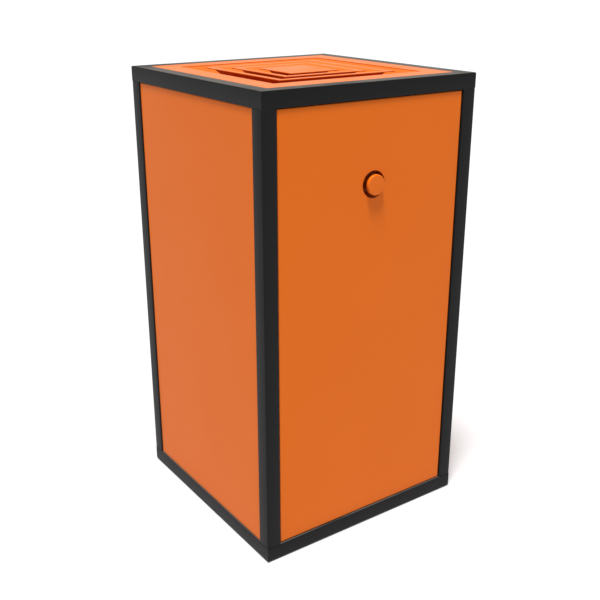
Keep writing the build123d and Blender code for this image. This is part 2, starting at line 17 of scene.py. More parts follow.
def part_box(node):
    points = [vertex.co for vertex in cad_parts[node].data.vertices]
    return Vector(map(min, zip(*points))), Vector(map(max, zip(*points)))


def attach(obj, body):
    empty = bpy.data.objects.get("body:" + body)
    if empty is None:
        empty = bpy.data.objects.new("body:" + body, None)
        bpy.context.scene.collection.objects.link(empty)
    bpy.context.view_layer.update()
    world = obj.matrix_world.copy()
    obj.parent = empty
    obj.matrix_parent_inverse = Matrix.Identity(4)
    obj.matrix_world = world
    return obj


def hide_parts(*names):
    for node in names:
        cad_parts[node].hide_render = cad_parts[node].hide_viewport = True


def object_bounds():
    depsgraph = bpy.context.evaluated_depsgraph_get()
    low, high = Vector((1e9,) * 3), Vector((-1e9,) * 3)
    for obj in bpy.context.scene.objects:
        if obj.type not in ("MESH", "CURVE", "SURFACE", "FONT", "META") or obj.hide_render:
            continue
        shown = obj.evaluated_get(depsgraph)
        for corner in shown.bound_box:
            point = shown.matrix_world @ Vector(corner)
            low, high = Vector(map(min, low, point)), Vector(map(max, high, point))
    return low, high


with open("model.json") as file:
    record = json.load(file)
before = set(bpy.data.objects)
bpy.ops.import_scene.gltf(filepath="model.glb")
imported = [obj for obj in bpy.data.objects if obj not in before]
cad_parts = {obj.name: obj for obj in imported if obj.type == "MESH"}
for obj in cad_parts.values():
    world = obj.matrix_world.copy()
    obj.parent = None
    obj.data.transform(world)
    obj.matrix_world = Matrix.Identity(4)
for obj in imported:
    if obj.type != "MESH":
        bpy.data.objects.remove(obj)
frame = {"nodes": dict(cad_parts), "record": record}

cad_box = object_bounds()
nodes = frame["nodes"]
print("parts in the model:", len(nodes))


# %% [markdown]
# ## Sizes
# Where a part lies is read from the model's own boxes, so a change of size there carries through.
# What a box can't tell, such as a sheet's thickness or a bend, is a named value beside the piece
# that uses it. Lengths are in metres.

# %% Read sizes from the model
top_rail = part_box("top_rail_front")
frame_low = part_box("bottom_rail_front")[0][2]
half_w = top_rail[1][0]
front_plane = top_rail[0][1]
half_d = -front_plane
frame_top = top_rail[1][2]
tube = top_rail[1][2] - top_rail[0][2]
sheet = 0.0015
print("frame", round(2 * half_w, 3), "x", round(2 * half_d, 3), "x", round(frame_top, 3))


# %% [markdown]
# ## Surface effects shared by several materials
# Powder coat has a very fine orange-peel skin, a pale film on faces that look up that is partly
# dust and partly a painted sheen for the light those faces catch, corners where handling has
# polished it, and painted shade that darkens sheltered corners and recesses.
# Rolled steel has a fine drawn grain. Each effect is one node group, built once, which puts out
# masks or heights. The shaders stay in the materials, where each sets its own strengths.

# %% Helpers for node groups
def new_group(name, inputs, outputs):
    """An empty shader node group with float or vector sockets and its two end nodes."""
    group = bpy.data.node_groups.new(name, "ShaderNodeTree")
    for label, kind, value in inputs:
        socket = group.interface.new_socket(label, in_out="INPUT", socket_type=kind)
        if value is not None:
            socket.default_value = value
    for label, kind in outputs:
        group.interface.new_socket(label, in_out="OUTPUT", socket_type=kind)
    start = group.nodes.new("NodeGroupInput")
    end = group.nodes.new("NodeGroupOutput")
    return group, start, end


def add_math(tree, operation, first, second=None, clamp=False):
    """A Math node fed by sockets or plain numbers; returns its output."""
    node = tree.nodes.new("ShaderNodeMath")
    node.operation = operation
    node.use_clamp = clamp
    for socket, value in zip(node.inputs, (first, second)):
        if value is None:
            continue
        if isinstance(value, (int, float)):
            socket.default_value = value
        else:
            tree.links.new(value, socket)
    return node.outputs[0]


def add_ramp(tree, value, low_end, high_end):
    """A smooth 0-to-1 step between two levels."""
    node = tree.nodes.new("ShaderNodeMapRange")
    node.interpolation_type = "SMOOTHSTEP"
    node.inputs["From Min"].default_value = low_end
    node.inputs["From Max"].default_value = high_end
    tree.links.new(value, node.inputs["Value"])
    return node.outputs["Result"]


def add_noise(tree, vector, scale, detail=3.0, roughness=0.5):
    """A Noise texture's value on a vector."""
    node = tree.nodes.new("ShaderNodeTexNoise")
    node.inputs["Scale"].default_value = scale
    node.inputs["Detail"].default_value = detail
    node.inputs["Roughness"].default_value = roughness
    tree.links.new(vector, node.inputs["Vector"])
    return node.outputs["Fac"]


# %% Coat skin: the pebbled surface that powder leaves when it melts
def build_coat_skin():
    group, start, end = new_group(
        "coat_skin",
        [("Vector", "NodeSocketVector", None), ("Cell size", "NodeSocketFloat", 0.0008)],
        [("Height", "NodeSocketFloat"), ("Cloud", "NodeSocketFloat")],
    )
    per_metre = add_math(group, "DIVIDE", 1.0, start.outputs["Cell size"])
    scaled = group.nodes.new("ShaderNodeVectorMath")
    scaled.operation = "SCALE"
    group.links.new(start.outputs["Vector"], scaled.inputs[0])
    group.links.new(per_metre, scaled.inputs["Scale"])
    pebble = add_noise(group, scaled.outputs[0], 1.0, detail=2.0)
    fine = add_noise(group, scaled.outputs[0], 2.7, detail=1.0)
    height = add_math(group, "ADD", add_math(group, "MULTIPLY", pebble, 0.75),
                      add_math(group, "MULTIPLY", fine, 0.25))
    group.links.new(height, end.inputs["Height"])
    group.links.new(add_noise(group, start.outputs["Vector"], 6.0, detail=2.0), end.inputs["Cloud"])
    return group


coat_skin = build_coat_skin()


# %% Worn edge: a mask on outside corners, broken up so that it isn't a drawn line
edge_reach = 0.0011


def build_worn_edge():
    """A small bevel turns the shading normal away from the face's own only near an edge."""
    group, start, end = new_group(
        "worn_edge",
        [("Vector", "NodeSocketVector", None), ("Spread", "NodeSocketFloat", 1.0)],
        [("Mask", "NodeSocketFloat")],
    )
    geometry = group.nodes.new("ShaderNodeNewGeometry")
    rounded = group.nodes.new("ShaderNodeBevel")
    rounded.samples = 6
    rounded.inputs["Radius"].default_value = edge_reach
    turn = group.nodes.new("ShaderNodeVectorMath")
    turn.operation = "DOT_PRODUCT"
    group.links.new(geometry.outputs["True Normal"], turn.inputs[0])
    group.links.new(rounded.outputs[0], turn.inputs[1])
    corner = add_ramp(group, turn.outputs["Value"], 0.97, 0.80)
    broken = add_ramp(group, add_noise(group, start.outputs["Vector"], 60.0, detail=4.0), 0.42, 0.68)
    mask = add_math(group, "MULTIPLY", corner, broken)
    mask = add_math(group, "MULTIPLY", mask, start.outputs["Spread"], clamp=True)
    group.links.new(mask, end.inputs["Mask"])
    return group


worn_edge = build_worn_edge()


# %% Dust and painted sheen: faint, patchy, and only on faces that look up, where it lightens the colour as the light from above would
def build_dust_and_sheen():
    group, start, end = new_group(
        "dust_and_sheen",
        [("Vector", "NodeSocketVector", None), ("Amount", "NodeSocketFloat", 0.1)],
        [("Mask", "NodeSocketFloat")],
    )
    geometry = group.nodes.new("ShaderNodeNewGeometry")
    parts = group.nodes.new("ShaderNodeSeparateXYZ")
    group.links.new(geometry.outputs["Normal"], parts.inputs[0])
    # faces that look up get dust and a painted sheen that lightens them
    upward = add_ramp(group, parts.outputs["Z"], 0.6, 1.0)
    patches = add_ramp(group, add_noise(group, start.outputs["Vector"], 9.0, detail=5.0), 0.10, 0.60)
    mask = add_math(group, "MULTIPLY", upward, patches)
    mask = add_math(group, "MULTIPLY", mask, start.outputs["Amount"], clamp=True)
    group.links.new(mask, end.inputs["Mask"])
    return group


dust_and_sheen = build_dust_and_sheen()


# %% Painted shade in recesses: a darker colour where other faces stand close, in place of the shade that falls there
painted_shade_reach = 0.045


def build_painted_recess_shade():
    """Painted shade: strong where other faces stand close in front; a face that looks up is left clear."""
    group, start, end = new_group(
        "painted_recess_shade",
        [("Vector", "NodeSocketVector", None), ("Amount", "NodeSocketFloat", 0.5)],
        [("Mask", "NodeSocketFloat")],
    )
    # the occlusion found here sets how much painted shade goes on
    shelter = group.nodes.new("ShaderNodeAmbientOcclusion")
    shelter.samples = 8
    shelter.inputs["Distance"].default_value = painted_shade_reach
    closed_in = add_ramp(group, shelter.outputs["AO"], 0.62, 0.18)
    geometry = group.nodes.new("ShaderNodeNewGeometry")
    facing_up = group.nodes.new("ShaderNodeSeparateXYZ")
    group.links.new(geometry.outputs["Normal"], facing_up.inputs[0])
    # painted shade is kept off faces that look up
    not_facing_up = add_ramp(group, facing_up.outputs["Z"], 0.55, 0.1)
    uneven = add_ramp(group, add_noise(group, start.outputs["Vector"], 40.0, detail=3.0), 0.1, 0.5)
    mask = add_math(group, "MULTIPLY", add_math(group, "MULTIPLY", closed_in, not_facing_up), uneven)
    mask = add_math(group, "MULTIPLY", mask, start.outputs["Amount"], clamp=True)
    group.links.new(mask, end.inputs["Mask"])
    return group


painted_recess_shade = build_painted_recess_shade()


# %% Drawn lines: the fine parallel grain of rolled or brushed steel
grain_across, grain_along = 900.0, 14.0
spangle_scale = 120.0


def build_rolled_grain():
    group, start, end = new_group(
        "rolled_grain",
        [("Vector", "NodeSocketVector", None)],
        [("Height", "NodeSocketFloat"), ("Spangle", "NodeSocketFloat")],
    )
    stretch = group.nodes.new("ShaderNodeMapping")
    stretch.inputs["Scale"].default_value = (grain_across, grain_along, grain_across)
    group.links.new(start.outputs["Vector"], stretch.inputs["Vector"])
    group.links.new(add_noise(group, stretch.outputs[0], 1.0, detail=2.0), end.inputs["Height"])
    cells = group.nodes.new("ShaderNodeTexVoronoi")
    cells.inputs["Scale"].default_value = spangle_scale
    group.links.new(start.outputs["Vector"], cells.inputs["Vector"])
    tone = group.nodes.new("ShaderNodeSeparateColor")
    group.links.new(cells.outputs["Color"], tone.inputs[0])
    group.links.new(tone.outputs[0], end.inputs["Spangle"])
    return group


rolled_grain = build_rolled_grain()
print("shared effects:", [g.name for g in bpy.data.node_groups])


# %% [markdown]
# ## Materials
# Each finish is one Principled shader. Its colour and roughness come from the shared effects, so
# that a coated panel, a coated tube and a plated bracket differ the way the real finishes do.

# %% Helpers for materials
noise_low, noise_high = 0.3, 0.7


def start_material(name):
    """A material with its tree, shader and Object coordinates."""
    material = bpy.data.materials.new(name)
    material.use_nodes = True
    tree = material.node_tree
    shader = tree.nodes["Principled BSDF"]
    place = tree.nodes.new("ShaderNodeTexCoord").outputs["Object"]
    return material, tree, shader, place


def use_group(tree, group, vector, **values):
    """A shared effect placed in a material with its own values."""
    node = tree.nodes.new("ShaderNodeGroup")
    node.node_tree = group
    tree.links.new(vector, node.inputs["Vector"])
    for label, value in values.items():
        node.inputs[label.replace("_", " ")].default_value = value
    return node


def mix_colour(tree, factor, first, second):
    """A colour mix; each colour is a socket or a red, green, blue triple."""
    node = tree.nodes.new("ShaderNodeMix")
    node.data_type = "RGBA"
    tree.links.new(factor, node.inputs["Factor"])
    for socket, value in ((node.inputs[6], first), (node.inputs[7], second)):
        if isinstance(value, tuple):
            socket.default_value = (*value, 1.0)
        else:
            tree.links.new(value, socket)
    return node.outputs[2]


def set_bump(tree, shader, height, distance, strength=1.0):
    """A Bump node from a height to the shader's normal."""
    node = tree.nodes.new("ShaderNodeBump")
    node.inputs["Distance"].default_value = distance
    node.inputs["Strength"].default_value = strength
    tree.links.new(height, node.inputs["Height"])
    tree.links.new(node.outputs[0], shader.inputs["Normal"])


def rough_range(tree, value, smooth, rough):
    """A roughness that wanders between two levels."""
    node = tree.nodes.new("ShaderNodeMapRange")
    node.inputs["From Min"].default_value = noise_low
    node.inputs["From Max"].default_value = noise_high
    node.inputs["To Min"].default_value = smooth
    node.inputs["To Max"].default_value = rough
    tree.links.new(value, node.inputs["Value"])
    return node.outputs["Result"]


# %% Powder coat, in orange for the sheets and near-black for the tubes
coat_shine = 0.14
pebble_depth = 0.00004
pebble_strength = 0.55
# pale tone of dust, also used as a painted sheen on faces that look up
dust_sheen_colour = (0.64, 0.57, 0.50)
# dark red of painted shade in recesses and under the louvres
painted_shade_colour = (0.200, 0.016, 0.0014)
orange = (0.690, 0.136, 0.0060)
orange_cloud = (0.684, 0.134, 0.0058)
orange_edge = (0.80, 0.24, 0.050)
black = (0.0062, 0.0064, 0.0070)
black_cloud = (0.0068, 0.0069, 0.0075)
black_edge = (0.040, 0.038, 0.036)


def powder_coat(name, colour, cloud_colour, edge_colour, smooth, rough, cell, wear, dust_sheen, painted_shade):
    """A coat whose colour takes, in turn, faint clouds, polished edges, dust with a painted sheen on faces
    that look up, and painted shade in recesses.
    """
    material, tree, shader, place = start_material(name)
    skin = use_group(tree, coat_skin, place, Cell_size=cell)
    edge = use_group(tree, worn_edge, place, Spread=wear)
    dust_sheen_mask_node = use_group(tree, dust_and_sheen, place, Amount=dust_sheen)
    cloud = add_ramp(tree, skin.outputs["Cloud"], 0.35, 0.65)
    tint = mix_colour(tree, cloud, colour, cloud_colour)
    tint = mix_colour(tree, edge.outputs["Mask"], tint, edge_colour)
    # dust and a painted sheen lighten the faces that look up
    tint = mix_colour(tree, dust_sheen_mask_node.outputs["Mask"], tint, dust_sheen_colour)
    # painted shade darkens recesses
    painted_shade_node = use_group(tree, painted_recess_shade, place, Amount=painted_shade)
    tint = mix_colour(tree, painted_shade_node.outputs["Mask"], tint, painted_shade_colour)
    tree.links.new(tint, shader.inputs["Base Color"])
    tree.links.new(rough_range(tree, skin.outputs["Cloud"], smooth, rough), shader.inputs["Roughness"])
    shader.inputs["Specular IOR Level"].default_value = coat_shine
    set_bump(tree, shader, skin.outputs["Height"], pebble_depth, pebble_strength)
    return material


# the last two amounts set dust with a painted sheen on faces that look up, and painted shade in recesses
orange_coat = powder_coat("orange_coat", orange, orange_cloud, orange_edge,
                          smooth=0.45, rough=0.49, cell=0.0011, wear=0.35, dust_sheen=0.13, painted_shade=0.85)
frame_coat = powder_coat("frame_coat", black, black_cloud, black_edge,
                         smooth=0.44, rough=0.49, cell=0.0008, wear=0.6, dust_sheen=0.13, painted_shade=0.0)
knob_enamel = powder_coat("knob_enamel", orange, orange_cloud, orange_edge,
                          smooth=0.40, rough=0.45, cell=0.0016, wear=0.5, dust_sheen=0.0, painted_shade=0.85)
print("coats:", orange_coat.name, frame_coat.name, knob_enamel.name)


# %% Plated and rolled metals
grain_strength = 0.4


def plated_metal(name, colour, bright, smooth, rough, grain):
    """A metal whose crystals differ a little in tone, with a drawn grain this deep."""
    material, tree, shader, place = start_material(name)
    rolled = use_group(tree, rolled_grain, place)
    tint = mix_colour(tree, rolled.outputs["Spangle"], colour, bright)
    tree.links.new(tint, shader.inputs["Base Color"])
    shader.inputs["Metallic"].default_value = 1.0
    tree.links.new(rough_range(tree, rolled.outputs["Height"], smooth, rough), shader.inputs["Roughness"])
    set_bump(tree, shader, rolled.outputs["Height"], grain, grain_strength)
    return material


zinc_sheet = plated_metal("zinc_sheet", (0.50, 0.51, 0.53), (0.60, 0.61, 0.63),
                          smooth=0.34, rough=0.48, grain=0.00002)
slide_steel = plated_metal("slide_steel", (0.58, 0.59, 0.61), (0.63, 0.64, 0.66),
                           smooth=0.24, rough=0.36, grain=0.00002)
rivet_metal = plated_metal("rivet_metal", (0.68, 0.68, 0.70), (0.72, 0.72, 0.74),
                           smooth=0.30, rough=0.40, grain=0.00001)
bright_steel = plated_metal("bright_steel", (0.62, 0.62, 0.64), (0.66, 0.66, 0.68),
                            smooth=0.18, rough=0.28, grain=0.00001)


# %% Moulded plastics
mould_depth = 0.00005
mould_strength = 0.5


def moulded_plastic(name, colour, cloud_colour, smooth, rough, cell):
    """A plastic with faint clouds of tone and the fine pebble of its mould."""
    material, tree, shader, place = start_material(name)
    skin = use_group(tree, coat_skin, place, Cell_size=cell)
    cloud = add_ramp(tree, skin.outputs["Cloud"], 0.3, 0.7)
    tree.links.new(mix_colour(tree, cloud, colour, cloud_colour), shader.inputs["Base Color"])
    tree.links.new(rough_range(tree, skin.outputs["Cloud"], smooth, rough), shader.inputs["Roughness"])
    set_bump(tree, shader, skin.outputs["Height"], mould_depth, mould_strength)
    return material


glide_plastic = moulded_plastic("glide_plastic", (0.020, 0.020, 0.021), (0.026, 0.026, 0.027),
                                smooth=0.45, rough=0.6, cell=0.0006)
liner_plastic = moulded_plastic("liner_plastic", (0.52, 0.52, 0.50), (0.49, 0.49, 0.475),
                                smooth=0.42, rough=0.55, cell=0.0010)
print("metals and plastics made")

# %% Which finish a slot has
finish = {
    "orange_coat": orange_coat, "frame_coat": frame_coat, "knob_enamel": knob_enamel,
    "zinc_sheet": zinc_sheet, "slide_steel": slide_steel, "rivet_metal": rivet_metal,
    "bright_steel": bright_steel, "glide_plastic": glide_plastic, "liner_plastic": liner_plastic,
}
print("materials:", sorted(finish))

# %% Give each carried-over part its finish
slot_of = {entry["node"]: entry["material_slot"] for entry in frame["record"]["subparts"]}
for name, part in nodes.items():
    part.data.materials.clear()
    part.data.materials.append(finish[slot_of[name]])
print("parts given a finish:", len(nodes))


# %% [markdown]
# ## Building blocks for new pieces
# Most pieces here are folded from sheet or moulded, so each is drawn the way it is folded. A closed
# loop is set round the piece, then extruded from station to station: across the face, over the
# fold, down the return and back along the inside. Turned pieces are a profile spun about its axis.
# Every piece stays at the origin, and is told which part of the working model it stands for.

# %% Finish a mesh as a piece
def keep_piece(shape, name, stands_for, body="cabinet", smooth_angle=40.0):
    """Turns a bmesh into a finished piece that stands for one or more parts."""
    bmesh.ops.recalc_face_normals(shape, faces=shape.faces[:])
    mesh = bpy.data.meshes.new(name)
    shape.to_mesh(mesh)
    shape.free()
    piece = bpy.data.objects.new(name, mesh)
    bpy.context.scene.collection.objects.link(piece)
    mesh.shade_smooth()
    mesh.set_sharp_from_angle(angle=math.radians(smooth_angle))
    mesh.materials.append(finish[slot_of[stands_for[0]]])
    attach(piece, body)
    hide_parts(*stands_for)
    return piece


# %% Loops and extrusions
def soften(stations, steps=5):
    """Rounds the corners of a profile; a station is (inset, height, radius of its corner)."""
    path = []
    count = len(stations)
    for i, (inset, level, radius) in enumerate(stations):
        here = Vector((inset, level))
        before = Vector(stations[i - 1][:2]) - here
        after = Vector(stations[(i + 1) % count][:2]) - here
        if radius == 0.0:
            path.append(here)
            continue
        first = here + before.normalized() * radius
        last = here + after.normalized() * radius
        for k in range(steps + 1):
            t = k / steps
            path.append(first * (1 - t) ** 2 + here * (2 * t * (1 - t)) + last * t ** 2)
    return path


def rounded_loop(half_u, half_v, radius, per_corner):
    """Points round a rectangle with round corners; per_corner of 1 leaves them square."""
    points = []
    for quarter, (su, sv) in enumerate(((1, 1), (-1, 1), (-1, -1), (1, -1))):
        if per_corner == 1:
            points.append((su * half_u, sv * half_v))
            continue
        for k in range(per_corner):
            angle = math.pi / 2 * (quarter + k / (per_corner - 1))
            points.append((su * (half_u - radius) + radius * math.cos(angle),
                           sv * (half_v - radius) + radius * math.sin(angle)))
    return points


def first_ring(shape, places):
    """A closed loop of vertices through the given places."""
    ring = bmesh.ops.create_circle(shape, cap_ends=False, segments=len(places), radius=1.0)["verts"]
    for vertex, place in zip(ring, places):
        vertex.co = place
    return ring


def ring_edges(shape, ring):
    """The edges of a closed loop, in its order."""
    return [shape.edges.get((a, b)) for a, b in zip(ring, ring[1:] + ring[:1])]


def extrude_ring(shape, ring, places):
    """Extrudes a loop to new places, keeping its order."""
    made = bmesh.ops.extrude_edge_only(shape, edges=ring_edges(shape, ring))["geom"]
    fresh = {v for v in made if isinstance(v, bmesh.types.BMVert)}
    following = []
    for old, place in zip(ring, places):
        new = next(e.other_vert(old) for e in old.link_edges if e.other_vert(old) in fresh)
        new.co = place
        following.append(new)
    return following


def skin(shape, rings, closed=False):
    """One surface through a list of loops, closed on itself or capped at both ends."""
    start = ring = first_ring(shape, rings[0])
    for places in rings[1:]:
        ring = extrude_ring(shape, ring, places)
    if closed:
        bmesh.ops.bridge_loops(shape, edges=ring_edges(shape, start) + ring_edges(shape, ring))
    else:
        for end in (start, ring):
            bmesh.ops.contextual_create(shape, geom=ring_edges(shape, end))


def facing(node, out):
    """For a part seen from outside along an axis: its frame, half sizes and depth."""
    corner_low, corner_high = (Vector(c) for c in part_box(node))
    out = Vector(out)
    axis = max(range(3), key=lambda i: abs(out[i]))
    across = [i for i in range(3) if i != axis]
    middle = (corner_low + corner_high) / 2
    middle[axis] = corner_high[axis] if out[axis] > 0 else corner_low[axis]
    columns = [Vector([1.0 if i == k else 0.0 for i in range(3)]) for k in across] + [out]
    place = Matrix.Translation(middle) @ Matrix(columns).transposed().to_4x4()
    size = corner_high - corner_low
    return place, size[across[0]] / 2, size[across[1]] / 2, size[axis]


def square_rings(place, half_u, half_v, profile):
    """Square loops, one for each (inset, level) of a profile."""
    return [[place @ Vector((u, v, level)) for u, v in rounded_loop(half_u - inset, half_v - inset, 0, 1)]
            for inset, level in profile]


def arc(middle, radius, first, last, steps):
    """Points on an arc in a turned piece's profile; the two angles are in degrees."""
    angles = [math.radians(first + (last - first) * k / steps) for k in range(steps + 1)]
    return [(middle[0] + radius * math.cos(t), middle[1] + radius * math.sin(t)) for t in angles]


def spun(shape, profile, axis_point, axis, steps=72):
    """A closed or axis-to-axis profile of (radius, distance along the axis) spun full circle."""
    axis = Vector(axis).normalized()
    side = axis.orthogonal().normalized()
    origin = Vector(axis_point)
    line = [shape.verts.new(origin + side * r + axis * d) for r, d in profile]
    edges = [shape.edges.new(pair) for pair in zip(line, line[1:])]
    if profile[0][0] > 0.0:
        edges.append(shape.edges.new((line[-1], line[0])))
    bmesh.ops.spin(shape, geom=line + edges, cent=origin, axis=axis, dvec=(0, 0, 0),
                   angle=2 * math.pi, steps=steps, use_merge=True, use_duplicate=False)
    bmesh.ops.remove_doubles(shape, verts=shape.verts[:], dist=1e-6)


# %% [markdown]
# ## The frame
# Square steel tube has rounded long edges, from being rolled. The rails meet on mitres, welded and
# dressed flat before the coat went on, so at each joint only a hairline is left. A rail is a block
# whose ends are cut at 45 degrees. Its long edges are then rounded, and its ends barely broken.

# %% Frame tubes
tube_round = 0.0016
joint_line = 0.00018


def round_tube(shape, along):
    """Rounds a tube's long edges, then breaks the edges at its two ends."""
    long_edges = [e for e in shape.edges if abs((e.verts[0].co - e.verts[1].co)[along]) > 3 * tube]
    bmesh.ops.bevel(shape, geom=long_edges, offset=tube_round, offset_type="OFFSET", segments=4,
                    profile=0.5, affect="EDGES", material=-1)
    long_faces = [f for f in shape.faces if max(e.calc_length() for e in f.edges) > 3 * tube]
    ends = [e for e in shape.edges if sum(f in long_faces for f in e.link_faces) == 1]
    bmesh.ops.bevel(shape, geom=ends, offset=joint_line, offset_type="OFFSET", segments=1,
                    profile=0.5, affect="EDGES", material=-1)


def make_tube(name, along):
    """One tube; along is the axis it lies on. A rail's ends are cut back on its inner side."""
    corner_low, corner_high = (Vector(c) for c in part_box(name))
    shape = bmesh.new()
    size = corner_high - corner_low
    place = Matrix.Translation((corner_low + corner_high) / 2) @ Matrix.Diagonal((*size, 1.0))
    bmesh.ops.create_cube(shape, size=1.0, matrix=place)
    if along < 2:
        across = 1 - along
        for vertex in shape.verts:
            if abs(vertex.co[across]) < half_w - tube / 2:
                vertex.co[along] -= math.copysign(tube, vertex.co[along])
    round_tube(shape, along)
    return keep_piece(shape, f"{name}_tube", [name])


tubes = [make_tube(f"{level}_rail_{side}", along) for level in ("bottom", "top")
         for side, along in (("front", 0), ("back", 0), ("left", 1), ("right", 1))]
tubes += [make_tube(f"post_{end}_{hand}", 2) for end in ("front", "back") for hand in ("left", "right")]
print("frame tubes:", len(tubes))


# %% [markdown]
# ## Sheet panels
# Each panel is one sheet with its four edges folded back, so its face ends in a soft bend about as
# tight as the sheet allows. The bend catches a thin line of light just inside the tubes. The front
# has a round hole for the knob, so its loops carry enough points to run from that circle out to the
# square.

# %% Folded panels
fold = 0.0025
crisp_fold = 0.0009
fold_inside = 0.0006
face_margin = 0.020


def tray_profile(outside, deep):
    """From the face, over the fold, down the return and back along the inside."""
    return soften([(face_margin, 0.0, 0.0), (0.0, 0.0, outside), (0.0, -deep, 0.0),
                   (sheet, -deep, 0.0), (sheet, -sheet, fold_inside), (face_margin, -sheet, 0.0)])


def make_tray(name, out):
    """A panel without a hole; out is the way its face looks."""
    place, half_u, half_v, deep = facing(name, out)
    shape = bmesh.new()
    skin(shape, square_rings(place, half_u, half_v, tray_profile(fold, deep)))
    return keep_piece(shape, f"{name}_sheet", [name])


trays = [make_tray("left_panel", (-1, 0, 0)), make_tray("right_panel", (1, 0, 0)),
         make_tray("back_panel", (0, 1, 0))]
print("folded panels:", [tray.name for tray in trays])


# %% Front panel with its round hole
hole_points = 64
cup_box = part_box("knob_cup")
knob_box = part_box("knob")
knob_z = (knob_box[0][2] + knob_box[1][2]) / 2
hole_radius = 0.021
hole_edge = 0.0004


def along_square(half_u, half_v):
    """The same number of points as the hole has, spread along a square's four sides."""
    corners = rounded_loop(half_u, half_v, 0, 1)
    share = hole_points // 4
    points = []
    for (u0, v0), (u1, v1) in zip(corners, corners[1:] + corners[:1]):
        points += [(u0 + (u1 - u0) * k / share, v0 + (v1 - v0) * k / share) for k in range(share)]
    return points


def make_front():
    """Loops from the hole's inner edge, out over the face and the fold, and back along the inside."""
    place, half_u, half_v, deep = facing("front_panel", (0, -1, 0))
    hole_v = knob_z - place.translation.z

    def circle(radius, level):
        turns = [math.pi / 4 + 2 * math.pi * k / hole_points for k in range(hole_points)]
        return [place @ Vector((radius * math.cos(t), hole_v + radius * math.sin(t), level)) for t in turns]

    rings = [circle(hole_radius, -sheet), circle(hole_radius, -hole_edge),
             circle(hole_radius + hole_edge, 0.0)]
    for inset, level in tray_profile(fold, deep):
        points = along_square(half_u - inset, half_v - inset)
        rings.append([place @ Vector((u, v, level)) for u, v in points])
    shape = bmesh.new()
    skin(shape, rings, closed=True)
    return keep_piece(shape, "front_panel_sheet", ["front_panel"], "pull_out")


make_front()
print("hole for the knob:", round(2000 * hole_radius, 1), "mm across")


# %% [markdown]
# ## The inlet
# The top sheet has a square opening with a sheet funnel below it, and the louvre rings sit in that
# funnel. Each ring is a flat rim and a blade leaning inward under the next gap, so that waste slides
# in and can't be reached again. The middle plate is such a ring too, with a hole of only 1 mm where
# its loops meet. All of them are square loops, so one profile makes each.

# %% Top sheet, funnel and louvre rings
hole_border = 0.060
well_flange = 0.012
well_ledge = 0.012
rim_width = 0.010
blade_end = 0.0003
middle_hole = 0.0005
hole_lip = 0.0003
plate_middle = half_w - middle_hole


def ring_from(name, profile, body):
    """A square part from a closed profile of (inset from the bin's side, level, corner radius)."""
    shape = bmesh.new()
    skin(shape, square_rings(Matrix.Identity(4), half_w, half_d, soften(profile)), closed=True)
    return keep_piece(shape, f"{name}_sheet", [name], body)


top_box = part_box("top_panel")
top_inset = half_w - top_box[1][0]
ring_from("top_panel", [
    (hole_border, frame_top, hole_lip), (top_inset, frame_top, crisp_fold),
    (top_inset, top_box[0][2], 0.0),
    (top_inset + sheet, top_box[0][2], 0.0), (top_inset + sheet, frame_top - sheet, fold_inside),
    (hole_border, frame_top - sheet, 0.0),
], "cabinet")

well_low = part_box("inlet_well")[0][2]
lean_angle = math.radians(45.0)
well_lean = (frame_top - well_low - sheet) / math.tan(lean_angle)
blade = sheet / math.sin(lean_angle)
seat = hole_border + well_lean
ring_from("inlet_well", [
    (hole_border - well_flange, frame_top - sheet, 0.0), (hole_border + sheet, frame_top - sheet, 0.0),
    (seat, well_low + sheet, fold_inside), (seat + well_ledge, well_low + sheet, 0.0),
    (seat + well_ledge, well_low, 0.0), (seat - blade, well_low, 2 * fold_inside),
    (hole_border + 2 * sheet - blade, frame_top - 2 * sheet, 2 * fold_inside),
    (hole_border - well_flange, frame_top - 2 * sheet, 0.0),
], "cabinet")

for name in ("inlet_ring_outer", "inlet_ring_inner", "inlet_centre_plate"):
    ring_low, ring_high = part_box(name)
    begin = half_w - ring_high[0]
    bend = begin + rim_width
    drop = ring_high[2] - ring_low[2]
    underside = [
        (bend + drop, ring_low[2], blade_end), (bend + drop - blade, ring_low[2], blade_end),
        (bend - blade + sheet, frame_top - sheet, fold_inside), (begin, frame_top - sheet, blade_end),
    ]
    if name == "inlet_centre_plate":
        top_face = [(begin, frame_top, blade_end), (plate_middle, frame_top, 0.0),
                    (plate_middle, frame_top - sheet, 0.0), (bend + sheet, frame_top - sheet, fold_inside)]
    else:
        top_face = [(begin, frame_top, blade_end), (bend, frame_top, crisp_fold)]
    ring_from(name, top_face + underside, "inlet_grille")
print("top opening", round(2 * (half_w - hole_border), 3), "funnel down to", round(well_low, 4))


# %% [markdown]
# ## Knob and its recess
# The knob is a thick flat button on a narrower neck, turned in one piece and enamelled, standing in
# a round pressed cup. A hand reaches behind its rim to pull. The rim is rounded, and the face has a
# barely raised crown, so that it picks up a soft highlight at the edge.

# %% Knob
cap_thick = 0.0060
neck_radius = 0.009
knob_bore = 0.0041
cap_rim = 0.0013
crown = 0.0002
cap_break = 0.0006
neck_fillet = 0.0008


def make_knob():
    """Crowned face, rounded rim, the cap's back, then down the neck and up its bore."""
    cap_radius = (knob_box[1][0] - knob_box[0][0]) / 2
    front, rear = knob_box[0][1], knob_box[1][1]
    profile = [(0.0, 0.0), (cap_radius * 0.55, 0.3 * crown), (cap_radius * 0.85, crown)]
    profile += arc((cap_radius - cap_rim, crown + cap_rim), cap_rim, -90, 0, 6)
    profile += [(cap_radius, cap_thick - cap_break), (cap_radius - cap_break, cap_thick),
                (neck_radius + neck_fillet, cap_thick), (neck_radius, cap_thick + neck_fillet),
                (neck_radius, rear - front), (knob_bore, rear - front), (knob_bore, cap_thick),
                (0.0, cap_thick)]
    shape = bmesh.new()
    spun(shape, profile, (0.0, front, knob_z), (0, 1, 0))
    return keep_piece(shape, "knob_turned", ["knob"], "knob_lock")


make_knob()
print("knob stands", round(1000 * (front_plane - knob_box[0][1]), 1), "mm past the frame")


# %% Cup
lock_opening = 0.00925
cup_bend = 0.0025


